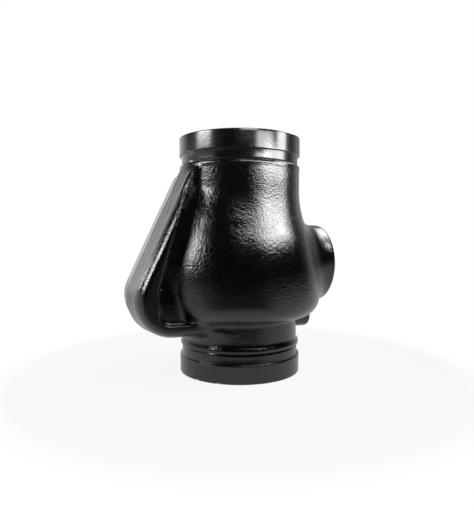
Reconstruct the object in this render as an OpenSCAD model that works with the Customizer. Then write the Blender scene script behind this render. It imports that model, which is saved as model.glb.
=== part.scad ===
// Riser check valve: a cast body with grooved pipe ends, a bell-shaped chamber and a hood for the hinge
// of its swinging clapper. Lengths are in millimetres and angles in degrees.
// The inlet face lies on z = 0, centred on the origin, and the water flows up along +Z.
// The hood stands out towards -X and the drain outlet towards +X.

/* [Pipe ends] */
// Outside diameter of both pipe-size ends
pipe_od = 114.3; // [113:0.1:116]
// Height from the inlet face to the outlet face
overall_h = 219; // [216:0.5:230]
// Length of the plain collar between an end face and its coupling groove
collar_len = 16.5; // [15:0.1:17.5]
// Width of the coupling grooves
groove_w = 9.5; // [8:0.1:10]
// Depth of the coupling grooves below the collars
groove_depth = 2.1; // [1.5:0.1:2.6]
// Bore of the waterway through both ends
bore_d = 97; // [92:0.5:99]
// Bevel on the outer edge of both end faces
end_bevel = 0.5; // [0.3:0.1:1.2]
// Height of the cast bead above the lower groove
bead_h = 4; // [3:0.5:5]
// Height of the slope between the bead and the lower neck
bead_slope_h = 4; // [3:0.5:5]
// How far the cast bead stands in from the collar's diameter
bead_inset = 0.6; // [0.2:0.1:1]

/* [Bell] */
// Largest radius of the bell
bell_r = 76.6; // [75:0.2:79]
// Height of the bell's widest ring above the inlet face
bell_z = 72; // [71:0.5:74]
// Radius that rounds the bell's lower edge
bell_low_r = 20; // [18:0.5:21]
// Radius of the convex part of the bell's side
bell_belly_r = 140; // [120:1:160]
// Radius of the straight neck above the bell
upper_neck_r = 56; // [55.6:0.1:56.4]
// Height where the bell's side runs into the straight upper neck
upper_neck_z = 166; // [160:1:172]
// Radius of the lower neck
lower_neck_r = 54.5; // [54:0.1:55]
// Radius of the fillet between the lower neck and the bell
neck_fillet_r = 2; // [1:0.5:2]
// Height of the raised shoulder under the upper groove
shoulder_h = 3; // [2:0.5:4]
// Height of the slope below that shoulder
shoulder_slope_h = 1; // [0.5:0.1:2]
// Wall thickness of the casting
wall = 7; // [6:0.25:7.5]

/* [Hood] */
// Angle of the hood's slanted face from the vertical
hood_slope = 25.2; // [24.5:0.1:26]
// Distance from the valve's axis to the hood's outermost point
hood_reach = 108.2; // [106:0.2:112]
// Outer radius of the hood's lower corner, seen from the side
hood_corner_r = 34.5; // [31:0.5:36]
// Height of the hood's flat underside above the inlet face
hood_floor_z = 39.2; // [38.6:0.2:42]
// Height of the hood's top edge above the inlet face
hood_top_z = 189; // [184:0.5:189.4]
// Width of the hood across its flanks
hood_w = 80; // [76:0.5:84]
// Width of the hood's slanted face between its rounded edges
hood_face_w = 44; // [40:0.5:52]
// How far the face stands proud at the casting's parting plane
hood_crown = 2.5; // [1.5:0.1:3]
// How far the rounded edges fall back beside the face
hood_edge_h = 7.5; // [6:0.5:8]
// Radius of the hood's top edge, seen from the side
hood_top_r = 12; // [11:0.5:14]
// Depth of the recess behind the hood's raised rim, beside the hinge
recess_depth = 6; // [4:0.5:7]
// Depth of the recess above the hinge
recess_top_depth = 12; // [10:0.5:12.5]
// Height where the recess starts to deepen
recess_bend_z = 70; // [66:0.5:74]
// Height over which the recess deepens
recess_bend_h = 22; // [18:1:26]
// Width of the raised rim at its widest, beside the lower corner
rim_w = 21.2; // [18:0.2:23]
// Height of the raised rim along the underside
rim_floor_h = 13.2; // [13:0.1:14.5]
// Angle of the rim's inner edge from the vertical
rim_slope = 15.6; // [14:0.1:17]
// Height where the rim's inner edge starts to lean
rim_knee_z = 84; // [80:1:90]
// Radius of the recess's lower corner
recess_corner_r = 11; // [8:0.5:13]

/* [Swing chamber] */
// Outer radius of the round chamber that the clapper swings up into
chamber_r = 52; // [51:0.25:53]
// Lean of the chamber's axis from the vertical
chamber_lean = 17.3; // [16:0.1:19]
// Distance of the chamber's lower centre from the valve's axis
chamber_x = 28.5; // [27:0.5:30]
// Height of the chamber's lower centre above the inlet face
chamber_z = 88; // [86:0.5:92]
// Length of the chamber's straight part along its axis
chamber_len = 92; // [85:1:95]

/* [Drain outlet] */
// Outside diameter of the drain outlet's boss
outlet_boss_d = 75; // [72:0.5:78]
// Distance from the valve's axis to the boss's end face
outlet_x = 85; // [82:0.5:90]
// Height of the outlet's axis above the inlet face
outlet_z = 101.3; // [99:0.1:104]
// Diameter of the outlet's bore, ready for a 2 in taper thread
outlet_bore_d = 57.8; // [55:0.1:60]
// Length of the outlet's bore
outlet_bore_len = 20; // [19:0.5:22]
// Bevel around the boss's end face
outlet_bevel = 1.6; // [1:0.1:2.4]

/* [Small ports] */
// Outside diameter of the boss on the supply side, below the seat
supply_boss_d = 24; // [21:0.5:26]
// Distance from the valve's axis to the supply boss's end face
supply_x = 72.5; // [72:0.5:78]
// Height of the supply port's axis above the inlet face
supply_z = 48.5; // [48:0.25:50]
// Diameter of the supply port's bore
supply_bore_d = 14.4; // [13:0.1:15]
// Outside diameter of the gauge boss on the system side, above the seat
gauge_boss_d = 21; // [20:0.5:24]
// How far the gauge boss's end face lies outside the bell's widest ring
gauge_out = 0; // [0:0.2:6]
// Height of the gauge port's axis above the inlet face
gauge_z = 122; // [118:0.5:126]
// Diameter of the gauge port's bore
gauge_bore_d = 11.2; // [10:0.1:12]
// Thread engagement of the port plugs
port_plug_len = 12; // [10:0.5:13]
// Width across the flats of the socket in the supply port's plug
supply_socket = 8; // [6:0.5:9]
// Width across the flats of the socket in the gauge port's plug
gauge_socket = 6; // [5:0.5:7]
// Depth of the sockets in the port plugs
socket_depth = 6; // [4:0.5:7]

/* [Seat] */
// Inside diameter of the seat ring
seat_d = 80; // [77:0.5:81]
// Height of the seating face above the inlet face
seat_z = 68; // [67.5:0.25:69]
// Width of the seating face
seat_face_w = 4; // [3:0.25:4.25]
// Height of the seating face above the ring's flange
seat_nose_h = 2.5; // [2:0.25:3]
// Thickness of the seat ring's flange
seat_flange_h = 2.5; // [2:0.25:3]
// Radial width of the flange outside the ring's body
seat_flange_w = 3; // [2:0.25:3.5]
// Outside diameter of the seat ring's body, a press fit in the valve body
seat_body_d = 104; // [102.5:0.25:105]
// Length of the seat ring's body below its flange
seat_body_len = 5.5; // [4.5:0.25:5.75]
// Radius of the raised rim of the casting that holds the seat ring
seat_boss_r = 58.5; // [58:0.25:60]
// Thickness of the seat's O-ring
seat_seal_t = 2.6; // [2:0.1:3]

/* [Hinge] */
// Distance from the valve's axis to the hinge pin's axis
hinge_x = 66; // [65:0.25:67]
// Height of the hinge pin's axis above the inlet face
hinge_z = 76; // [75:0.25:77]
// Diameter of the hinge pin
pin_d = 12; // [10:0.25:13]
// Clear width between the two hinge lugs of the body
lug_gap = 42; // [40:0.5:44]
// Radius of the hinge lugs
lug_r = 12.5; // [11:0.25:13]
// Diameter of the threaded hole that draws the pin out
pin_pull_d = 5; // [4:0.5:6]
// Depth of the hinge pin in the near lug
pin_engage = 6; // [4:0.5:7]
// Thickness of the thrust washers
thrust_t = 0.8; // [0.6:0.1:1]
// Outside diameter of the thrust washers
thrust_d = 20; // [18:0.5:22]
// Outside diameter of the bushings in the clapper arm
bush_d = 15.4; // [15:0.1:16]
// Length of each bushing
bush_len = 11; // [9:0.5:12]
// Diameter of the pin plug's bore in the body
pin_plug_d = 18.6; // [18:0.1:20]
// Outside diameter of the boss around the pin plug
pin_boss_d = 30; // [28:0.5:32]
// How far the pin boss's end face stands out past the bell around it
pin_boss_out = 0; // [0:0.5:3]
// Length of the pin plug inside its bore
pin_plug_len = 10; // [8:0.5:12]
// Width across the flats of the pin plug's hexagon
pin_plug_hex = 17; // [15:0.5:18]
// Height of the pin plug's hexagon
pin_plug_hex_h = 7; // [6:0.5:9]
// Outside diameter of the pin plug's flange
pin_plug_flange_d = 25; // [24:0.5:27]
// Thickness of the pin plug's flange
pin_plug_flange_h = 2; // [1.5:0.25:3]
// Thickness of the gasket under the pin plug's flange
plug_gasket_t = 1.2; // [1:0.1:2]

/* [Clapper] */
// Outside diameter of the clapper disc
disc_d = 91; // [90:0.5:92]
// Thickness of the clapper disc above its facing
disc_t = 4.5; // [4:0.25:5]
// Radial width of the disc's lip around the facing
lip_w = 1.4; // [1:0.1:1.5]
// How far the lip reaches down beside the facing
lip_h = 3; // [2:0.25:3.5]
// Thickness of the rubber facing
facing_t = 5; // [4.5:0.25:5.5]
// Diameter of the disc's raised centre
disc_hub_d = 30; // [26:0.5:32]
// Height of the disc's raised centre
disc_hub_h = 3; // [2.5:0.25:3.5]
// Bevel around the disc's back and the stem's end
disc_bevel = 1; // [0.5:0.1:1.5]
// Diameter of the clapper's stem
stem_d = 12; // [10:0.25:13]
// Length of the stem above the arm
stem_out = 18.5; // [18:0.5:20]
// Number of ribs on the back of the disc
rib_n = 8; // [6:1:10]
// Thickness of those ribs
rib_t = 3; // [2:0.25:4]
// Height of those ribs at the hub
rib_h = 2.4; // [1.5:0.1:2.5]
// Distance of the ribs' outer ends from the disc's edge
rib_stop = 5; // [4:0.5:10]
// Diameter of the plate that clamps the facing
retainer_d = 72; // [70:0.5:73]
// Thickness of that plate
retainer_t = 3; // [2:0.25:3.5]
// Number of screws through the plate
screw_n = 6; // [4:1:8]
// Circle that the screws stand on, as a diameter
screw_circle_d = 54; // [50:0.5:58]
// Diameter of the screws
screw_d = 4; // [3.5:0.25:4.5]
// Diameter of the screw heads
screw_head_d = 8; // [7:0.5:9]
// Height of the screw heads
screw_head_h = 2.6; // [2:0.1:3]
// Width across the flats of the sockets in the screw heads
screw_socket = 3; // [2:0.25:3.5]
// Depth of those sockets
screw_socket_h = 1.6; // [1:0.1:1.8]
// Depth of the screws' ends below the back of the disc
screw_short = 1.2; // [0.5:0.1:2]

/* [Clapper arm] */
// Thickness of the arm's plate
arm_t = 7; // [6:0.25:7.5]
// Radius of the arm's eyes around the hinge pin
eye_r = 11.4; // [10.5:0.1:11.5]
// How far the arm's plate reaches past the pin's axis
arm_overhang = 3; // [1:0.5:5]
// Width of the bridge between the arm's window and its boss
arm_bridge = 8; // [5:0.5:12]
// Width of each eye along the pin
eye_w = 11; // [9:0.5:12]
// Radius of the arm's boss around the stem
arm_boss_r = 14; // [12:0.25:15]
// Height of that boss
arm_boss_h = 9.5; // [9:0.25:10.5]
// Width of the window between the arm's two legs, at the hinge
arm_window_w = 17; // [12:0.5:18]
// Play between the arm and the disc's raised centre
arm_play = 0.3; // [0.2:0.05:0.5]

/* [Fasteners] */
// Thickness of the washer on the stem
stem_washer_t = 1.6; // [1.2:0.1:2]
// Outside diameter of the washer on the stem
stem_washer_d = 24; // [22:0.5:26]
// Width across the flats of the stem's nut
nut_hex = 18; // [17:0.5:20]
// Height of the nut
nut_h = 9; // [8:0.5:10]
// Diameter of the split pin's wire
split_d = 2.4; // [2:0.1:2.8]
// Height of the split pin above the nut
split_rise = 3.6; // [3:0.1:4]
// Length of the split pin's straight part
split_len = 21; // [18:0.5:24]
// Angle that each leg of the split pin is bent out by
split_spread = 55; // [30:1:70]
// Length of the bent legs
split_leg_len = 4.8; // [3:0.2:6]

/* [Fits] */
// Radial clearance of turning parts
run_fit = 0.06; // [0.03:0.01:0.09]
// Radial clearance of pressed and threaded parts
set_fit = 0.03; // [0.02:0.01:0.06]
// Opening of the clapper that the drawing shows
clapper_angle = 0; // [0:1:55]

/* [Hidden] */
$fn = 96;

pipe_r = pipe_od / 2;
groove_r = pipe_r - groove_depth;
bore_r = bore_d / 2;
cut = 1;
// Turn of a round form about its own axis, which keeps the seam of its surface clear of other seams
seam_turn = 40;

// Levels along the valve's axis
low_groove_z = collar_len + groove_w;
bead_top_z = low_groove_z + bead_h;
neck_z = bead_top_z + bead_slope_h;
bell_floor_z = bell_z - bell_low_r;
high_collar_z = overall_h - collar_len;
high_groove_z = high_collar_z - groove_w;
shoulder_r = pipe_r;
shoulder_z = high_groove_z - shoulder_h;

// The bell's side is an ogee: a convex arc, then a concave one that ends in the straight neck. The concave
// radius is rounded up from the tangent one, so that the two arcs cross cleanly.
bell_step = bell_r - upper_neck_r;
bell_rise = upper_neck_z - bell_z;
ogee_sum = (bell_step * bell_step + bell_rise * bell_rise) / (2 * bell_step);
bell_sweep_r = ceil(ogee_sum - bell_belly_r + cut / 2);

// Hood
hood_half = hood_w / 2;
face_half = hood_face_w / 2;
hood_edge_w = hood_half - face_half;
corner_x = -hood_reach + hood_corner_r;
corner_z = hood_floor_z + hood_corner_r;
out_x = -cos(hood_slope);
out_z = sin(hood_slope);
up_x = sin(hood_slope);
up_z = cos(hood_slope);
top_run = (hood_top_z - hood_top_r - corner_z - out_z * (hood_corner_r - hood_top_r)) / up_z;
top_x = corner_x + out_x * (hood_corner_r - hood_top_r) + up_x * top_run;
top_z = hood_top_z - hood_top_r;
root_x = -30;
web_y = hood_half - recess_depth;
web_top_y = hood_half - recess_top_depth;

// Hinge and clapper
pin_r = pin_d / 2;
lug_y = lug_gap / 2;
pin_boss_in_x = hinge_x - pin_boss_d / 2;
pin_boss_y = ceil(sqrt(bell_r * bell_r - pin_boss_in_x * pin_boss_in_x)) + pin_boss_out;
pin_near_y = -lug_y - pin_engage;
pin_far_y = pin_boss_y - pin_plug_len - 1;
pin_seat_y = pin_far_y - 2;
eye_y = lug_y - thrust_t - arm_play;
facing_top_z = seat_z + facing_t;
disc_top_z = facing_top_z + disc_t;
arm_z = disc_top_z + disc_hub_h + arm_play;
arm_boss_top_z = arm_z + arm_boss_h;
nut_z = arm_boss_top_z + arm_play + stem_washer_t;
stem_top_z = arm_boss_top_z + stem_out;
split_z = nut_z + nut_h + split_rise - split_d / 2;
facing_r = disc_d / 2 - lip_w;
retainer_bottom_z = seat_z - retainer_t;
seat_flange_z = seat_z - seat_nose_h - seat_flange_h;
seat_low_z = seat_flange_z - seat_body_len;
gauge_y = bell_r + gauge_out;

// A cylinder that lies along +X or along +Y
module x_cylinder(r, x0, x1) {
    translate([x0, 0, 0]) rotate([0, 90, 0]) rotate([0, 0, seam_turn]) cylinder(r = r, h = x1 - x0);
}

module y_cylinder(r, y0, y1) {
    translate([0, y0, 0]) rotate([-90, 0, 0]) cylinder(r = r, h = y1 - y0);
}

// A ring around an upright axis
module tube(r_out, r_in, h) {
    difference() {
        cylinder(r = r_out, h = h);
        translate([0, 0, -cut]) cylinder(r = r_in, h = h + 2 * cut);
    }
}

module hexagon(across, h) {
    cylinder(d = across / cos(30), h = h, $fn = 6);
}

// Half outline of the bell, moved out by grow
module bell_half(grow) {
    turn_z = bell_z + bell_rise * (bell_belly_r + grow) / ogee_sum;
    // Rounded lower edge
    intersection() {
        union() {
            translate([bell_r - bell_low_r, bell_z]) circle(r = bell_low_r + grow);
            translate([0, bell_z - bell_low_r - grow]) square([bell_r - bell_low_r, bell_low_r + grow]);
        }
        translate([0, bell_z - bell_low_r - grow]) square([bell_r + grow, bell_low_r + grow]);
    }
    // Convex part of the side, then the concave part
    difference() {
        union() {
            intersection() {
                translate([bell_r - bell_belly_r, bell_z]) circle(r = bell_belly_r + grow, $fn = 360);
                translate([0, bell_z]) square([bell_r + grow, turn_z - bell_z]);
            }
            translate([0, turn_z]) square([bell_r, upper_neck_z - turn_z]);
        }
        translate([upper_neck_r + bell_sweep_r, upper_neck_z]) circle(r = bell_sweep_r - grow, $fn = 240);
    }
}

// Half outline of the turned and cast parts around the valve's axis
module body_half() {
    bell_half(0);
    // Lower collar, groove, bead and neck
    polygon([[0, 0], [pipe_r - end_bevel, 0], [pipe_r, end_bevel], [pipe_r, collar_len],
             [groove_r, collar_len], [groove_r, low_groove_z], [pipe_r - bead_inset, low_groove_z],
             [pipe_r - bead_inset, bead_top_z], [lower_neck_r, neck_z],
             [lower_neck_r, bell_z], [0, bell_z]]);
    // Fillet where the neck meets the bell
    difference() {
        translate([0, bell_floor_z - neck_fillet_r])
            square([lower_neck_r + neck_fillet_r, 2 * neck_fillet_r]);
        translate([lower_neck_r + neck_fillet_r, bell_floor_z - neck_fillet_r])
            circle(r = neck_fillet_r);
    }
    // Upper neck, shoulder, groove and collar
    polygon([[0, bell_z], [upper_neck_r, upper_neck_z], [upper_neck_r, shoulder_z - shoulder_slope_h],
             [shoulder_r, shoulder_z], [shoulder_r, high_groove_z], [groove_r, high_groove_z],
             [groove_r, high_collar_z], [pipe_r, high_collar_z], [pipe_r, overall_h - end_bevel],
             [pipe_r - end_bevel, overall_h], [0, overall_h]]);
}

// A crowned roller with rounded edges that lies across the hood
module hood_roller(x, z, r) {
    shoulder = r - hood_crown;
    translate([x, 0, z]) rotate([-90, 0, 0]) rotate_extrude($fn = 48) union() {
        polygon([[0, -face_half], [shoulder, -face_half], [r, 0], [shoulder, face_half], [0, face_half]]);
        translate([0, -hood_half]) square([shoulder - hood_edge_h, hood_w]);
        for (side = [-1, 1]) {
            intersection() {
                translate([shoulder - hood_edge_h, side * face_half]) scale([hood_edge_h, hood_edge_w])
                    circle(r = 1, $fn = 32);
                translate([0, -hood_half]) square([r, hood_w]);
            }
        }
    }
}

// The hood's outer form: a slanted face, a round lower corner and a flat underside
module hood_outer() {
    hull() {
        hood_roller(corner_x, corner_z, hood_corner_r);
        hood_roller(top_x, top_z, hood_top_r);
        hood_roller(root_x, hood_floor_z + hood_top_r, hood_top_r);
    }
}

// The hood between its recessed flanks, moved in by inset: level beside the hinge, narrower above it
module flank_core(inset) {
    low_y = web_y - inset;
    top_y = web_top_y - inset;
    bend_top_z = recess_bend_z + recess_bend_h;
    translate([-hood_reach, 0, 0]) rotate([90, 0, 90]) linear_extrude(height = hood_reach + 2 * cut)
        polygon([[-low_y, 0], [low_y, 0], [low_y, recess_bend_z], [top_y, bend_top_z], [top_y, overall_h],
                 [-top_y, overall_h], [-top_y, bend_top_z], [-low_y, recess_bend_z]]);
}

// The recess behind the raised rim, on both flanks
module hood_recess() {
    edge_x = -hood_reach + rim_w;
    floor_z = hood_floor_z + rim_floor_h;
    lean_top = overall_h;
    difference() {
        rotate([90, 0, 0]) linear_extrude(height = hood_w + 2 * cut, center = true) union() {
            translate([edge_x + recess_corner_r, floor_z + recess_corner_r]) circle(r = recess_corner_r);
            polygon([[edge_x + recess_corner_r, floor_z], [cut, floor_z], [cut, lean_top],
                     [edge_x + (lean_top - rim_knee_z) * tan(rim_slope), lean_top],
                     [edge_x, rim_knee_z], [edge_x, floor_z + recess_corner_r]]);
        }
        flank_core(0);
    }
}

// The hood's hollow, a wall's thickness inside its outline
module hood_hollow() {
    r_in = hood_corner_r - wall;
    face_x = corner_x + out_x * r_in;
    face_z = corner_z + out_z * r_in;
    run = (shoulder_z - wall - face_z) / up_z;
    intersection() {
        rotate([90, 0, 0]) linear_extrude(height = hood_w, center = true) union() {
            translate([corner_x, corner_z]) circle(r = r_in);
            polygon([[corner_x, corner_z - r_in], [-lower_neck_r + wall, corner_z - r_in], [0, bell_z],
                     [0, upper_neck_z], [-bore_r + wall, shoulder_z - wall],
                     [face_x + up_x * run, face_z + up_z * run], [face_x, face_z], [corner_x, corner_z]]);
        }
        flank_core(wall);
    }
}

// The leaning round chamber, with a round lower end
module swing_chamber(r) {
    translate([-chamber_x, 0, chamber_z]) rotate([0, chamber_lean, 0]) {
        cylinder(r = r, h = chamber_len);
        sphere(r = r);
    }
}

// Everything that is solid before the hollows are cut
module body_outer() {
    rotate([0, 0, seam_turn]) rotate_extrude() body_half();
    difference() {
        hood_outer();
        hood_recess();
    }
    intersection() {
        swing_chamber(chamber_r);
        translate([-hood_reach, -hood_reach, bell_floor_z])
            cube([2 * hood_reach, 2 * hood_reach, shoulder_z - bell_floor_z]);
    }
    // Drain outlet
    translate([0, 0, outlet_z]) rotate([0, 90, 0]) rotate([0, 0, seam_turn]) rotate_extrude() polygon([
        [0, 0], [outlet_boss_d / 2, 0], [outlet_boss_d / 2, outlet_x - outlet_bevel],
        [outlet_boss_d / 2 - outlet_bevel, outlet_x], [0, outlet_x]]);
    // Small ports and the pin plug's boss
    translate([0, 0, supply_z]) x_cylinder(supply_boss_d / 2, bore_r + cut, supply_x);
    translate([0, 0, gauge_z]) y_cylinder(gauge_boss_d / 2, bore_r + cut, gauge_y);
    translate([-hinge_x, 0, hinge_z]) y_cylinder(pin_boss_d / 2, lug_y + cut, pin_boss_y);
}

// The waterway, the bell's hollow, the hood's hollow and the swing chamber
module body_hollow() {
    translate([0, 0, -cut]) cylinder(r = bore_r, h = overall_h + 2 * cut);
    rotate([0, 0, seam_turn]) rotate_extrude() bell_half(-wall);
    hood_hollow();
    intersection() {
        swing_chamber(chamber_r - wall);
        translate([-hood_reach, -hood_reach, bell_floor_z + wall])
            cube([2 * hood_reach, 2 * hood_reach, upper_neck_z]);
    }
}

module body() {
    color([0.06, 0.06, 0.065]) difference() {
        union() {
            difference() {
                body_outer();
                body_hollow();
            }
            // Raised rim that holds the seat ring
            translate([0, 0, bell_floor_z + cut])
                cylinder(r = seat_boss_r, h = seat_flange_z - bell_floor_z - cut);
            // Hinge lugs inside the hood; the far one reaches into the pin plug's boss
            translate([-hinge_x, 0, hinge_z]) {
                y_cylinder(lug_r, -web_top_y, -lug_y);
                y_cylinder(lug_r, lug_y, pin_seat_y + cut);
            }
            // Inner end of the drain outlet
            translate([0, 0, outlet_z]) x_cylinder(outlet_bore_d / 2 + wall / 2, outlet_x - outlet_bore_len,
                                                   outlet_x - outlet_bevel);
        }
        translate([0, 0, -cut]) cylinder(r = bore_r, h = seat_low_z + 2 * cut);
        translate([0, 0, seat_low_z]) cylinder(r = seat_body_d / 2 + set_fit, h = seat_body_len + cut);
        translate([0, 0, outlet_z])
            x_cylinder(outlet_bore_d / 2, bore_r, outlet_x + cut);
        translate([0, 0, supply_z]) x_cylinder(supply_bore_d / 2, 0, supply_x + cut);
        translate([0, 0, gauge_z]) y_cylinder(gauge_bore_d / 2, 0, gauge_y + cut);
        translate([-hinge_x, 0, hinge_z]) {
            y_cylinder(pin_r + set_fit, pin_near_y - set_fit, pin_boss_y);
            y_cylinder(pin_plug_d / 2, pin_seat_y, pin_boss_y + cut);
        }
    }
}

module seat_ring() {
    color([0.72, 0.56, 0.30]) difference() {
        rotate_extrude() polygon([
            [seat_d / 2, seat_low_z],
            [seat_body_d / 2, seat_low_z],
            [seat_body_d / 2, seat_flange_z],
            [seat_body_d / 2 + seat_flange_w, seat_flange_z],
            [seat_body_d / 2 + seat_flange_w, seat_flange_z + seat_flange_h],
            [seat_d / 2 + seat_face_w + seat_nose_h, seat_flange_z + seat_flange_h],
            [seat_d / 2 + seat_face_w, seat_z],
            [seat_d / 2, seat_z]]);
        translate([0, 0, seat_low_z + (seat_body_len - seat_seal_t) / 2])
            tube(seat_body_d, seat_body_d / 2 - seat_seal_t + set_fit, seat_seal_t);
    }
}

module seat_o_ring() {
    ring_r = seat_seal_t / 2 - set_fit;
    color([0.08, 0.08, 0.08]) translate([0, 0, seat_low_z + seat_body_len / 2]) rotate_extrude()
        translate([seat_body_d / 2 - seat_seal_t / 2 + set_fit, 0]) circle(r = ring_r, $fn = 32);
}

module hinge_pin() {
    color([0.75, 0.75, 0.77]) translate([-hinge_x, 0, hinge_z]) difference() {
        y_cylinder(pin_r, pin_near_y, pin_far_y);
        y_cylinder(pin_pull_d / 2, pin_far_y - pin_engage, pin_far_y + cut);
    }
}

module thrust_washer(side) {
    color([0.78, 0.6, 0.3]) translate([-hinge_x, 0, hinge_z]) difference() {
        scale([1, side, 1]) y_cylinder(thrust_d / 2, lug_y - thrust_t, lug_y);
        y_cylinder(pin_r + run_fit, -lug_y - cut, lug_y + cut);
    }
}

module thrust_washer_near() {
    thrust_washer(-1);
}

module thrust_washer_far() {
    thrust_washer(1);
}

module hinge_pin_plug() {
    head_y = pin_boss_y + plug_gasket_t;
    color([0.70, 0.55, 0.30]) translate([-hinge_x, 0, hinge_z]) {
        y_cylinder(pin_plug_d / 2 - set_fit, pin_boss_y - pin_plug_len, head_y);
        y_cylinder(pin_plug_flange_d / 2, head_y, head_y + pin_plug_flange_h);
        translate([0, head_y, 0]) rotate([-90, 0, 0])
            hexagon(pin_plug_hex, pin_plug_flange_h + pin_plug_hex_h);
    }
}

module pin_plug_gasket() {
    color([0.35, 0.1, 0.08]) translate([-hinge_x, pin_boss_y, hinge_z]) rotate([-90, 0, 0])
        tube(pin_plug_flange_d / 2 - set_fit, pin_plug_d / 2 + set_fit, plug_gasket_t);
}

// A plug with a hexagon socket whose outer face is flush with its boss
module port_plug(r, socket) {
    difference() {
        translate([0, 0, -port_plug_len]) cylinder(r = r - set_fit, h = port_plug_len);
        translate([0, 0, -socket_depth]) hexagon(socket, socket_depth + cut);
    }
}

module supply_port_plug() {
    color([0.35, 0.35, 0.36]) translate([supply_x, 0, supply_z]) rotate([0, 90, 0])
        port_plug(supply_bore_d / 2, supply_socket);
}

module gauge_port_plug() {
    color([0.35, 0.35, 0.36]) translate([0, gauge_y, gauge_z]) rotate([-90, 0, 0])
        port_plug(gauge_bore_d / 2, gauge_socket);
}

// Turns the clapper and its arm about the hinge pin
module swung() {
    translate([-hinge_x, 0, hinge_z]) rotate([0, -clapper_angle, 0])
        translate([hinge_x, 0, -hinge_z]) children();
}

// The arm: two eyes on the hinge pin, two legs and a boss around the clapper's stem
module clapper_arm() {
    leg_y = eye_y - arm_play;
    neck_y = arm_boss_r - cut;
    end_x = -hinge_x - arm_overhang;
    window_x = -arm_boss_r - arm_bridge;
    color([0.45, 0.45, 0.44]) swung() difference() {
        union() {
            translate([-hinge_x, 0, hinge_z]) {
                y_cylinder(eye_r, -eye_y, -eye_y + eye_w);
                y_cylinder(eye_r, eye_y - eye_w, eye_y);
            }
            translate([0, 0, arm_z]) {
                cylinder(r = arm_boss_r, h = arm_boss_h);
                linear_extrude(height = arm_t) difference() {
                    polygon([[end_x, -leg_y], [0, -neck_y], [0, neck_y], [end_x, leg_y]]);
                    polygon([[end_x - cut, -arm_window_w / 2], [window_x, -arm_window_w / 4],
                             [window_x, arm_window_w / 4], [end_x - cut, arm_window_w / 2]]);
                }
            }
        }
        translate([-hinge_x, 0, hinge_z]) y_cylinder(bush_d / 2 + set_fit, -lug_y, lug_y);
        translate([0, 0, arm_z - cut]) cylinder(r = stem_d / 2 + run_fit, h = arm_boss_h + 2 * cut);
    }
}

module arm_bushing(side) {
    color([0.78, 0.6, 0.3]) swung() translate([-hinge_x, 0, hinge_z]) difference() {
        scale([1, side, 1]) y_cylinder(bush_d / 2, eye_y - bush_len, eye_y);
        y_cylinder(pin_r + run_fit, -lug_y, lug_y);
    }
}

module arm_bushing_near() {
    arm_bushing(-1);
}

module arm_bushing_far() {
    arm_bushing(1);
}

// Places one copy on each screw's axis
module at_screws() {
    for (i = [0:screw_n - 1]) {
        rotate([0, 0, (i + 0.5) * 360 / screw_n]) translate([screw_circle_d / 2, 0, 0]) children();
    }
}

module clapper_disc() {
    disc_r = disc_d / 2;
    color([0.5, 0.5, 0.49]) swung() difference() {
        union() {
            translate([0, 0, facing_top_z]) cylinder(r = disc_r, h = disc_t - disc_bevel);
            translate([0, 0, disc_top_z - disc_bevel])
                cylinder(r1 = disc_r, r2 = disc_r - disc_bevel, h = disc_bevel);
            translate([0, 0, facing_top_z - lip_h]) tube(disc_r, facing_r, lip_h + cut);
            translate([0, 0, disc_top_z]) cylinder(d = disc_hub_d, h = disc_hub_h);
            translate([0, 0, disc_top_z]) cylinder(d = stem_d, h = stem_top_z - disc_top_z - disc_bevel);
            translate([0, 0, stem_top_z - disc_bevel])
                cylinder(d1 = stem_d, d2 = stem_d - 2 * disc_bevel, h = disc_bevel);
            for (i = [0:rib_n - 1]) {
                rotate([0, 0, (i + 0.5) * 360 / rib_n]) translate([0, rib_t / 2, disc_top_z])
                    rotate([90, 0, 0]) linear_extrude(height = rib_t)
                        polygon([[stem_d / 2, 0], [disc_r - rib_stop, 0],
                                 [disc_hub_d / 2, rib_h], [stem_d / 2, rib_h]]);
            }
        }
        at_screws() translate([0, 0, facing_top_z - cut]) cylinder(d = screw_d + 2 * set_fit, h = disc_t);
        translate([0, 0, split_z]) y_cylinder(split_d / 2 + set_fit, -stem_d, stem_d);
    }
}

module clapper_facing() {
    color([0.09, 0.09, 0.09]) swung() difference() {
        translate([0, 0, seat_z]) cylinder(r = facing_r - set_fit, h = facing_t);
        at_screws() translate([0, 0, seat_z - cut])
            cylinder(d = screw_d + 2 * set_fit, h = facing_t + 2 * cut);
    }
}

module facing_retainer() {
    color([0.72, 0.72, 0.74]) swung() difference() {
        translate([0, 0, retainer_bottom_z]) cylinder(d = retainer_d, h = retainer_t);
        at_screws() translate([0, 0, retainer_bottom_z - cut])
            cylinder(d = screw_d + 2 * set_fit, h = retainer_t + 2 * cut);
    }
}

module retainer_screws() {
    color([0.78, 0.78, 0.8]) swung() at_screws() difference() {
        union() {
            translate([0, 0, retainer_bottom_z])
                cylinder(d = screw_d, h = retainer_t + facing_t + disc_t - screw_short);
            translate([0, 0, retainer_bottom_z - screw_head_h]) cylinder(d = screw_head_d, h = screw_head_h);
        }
        translate([0, 0, retainer_bottom_z - screw_head_h - cut]) hexagon(screw_socket, cut + screw_socket_h);
    }
}

module stem_washer() {
    color([0.75, 0.75, 0.77]) swung() translate([0, 0, arm_boss_top_z + arm_play])
        tube(stem_washer_d / 2, stem_d / 2 + set_fit, stem_washer_t);
}

module stem_nut() {
    color([0.75, 0.75, 0.77]) swung() translate([0, 0, nut_z]) difference() {
        hexagon(nut_hex, nut_h);
        translate([0, 0, -cut]) cylinder(r = stem_d / 2 + set_fit, h = nut_h + 2 * cut);
    }
}

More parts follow.
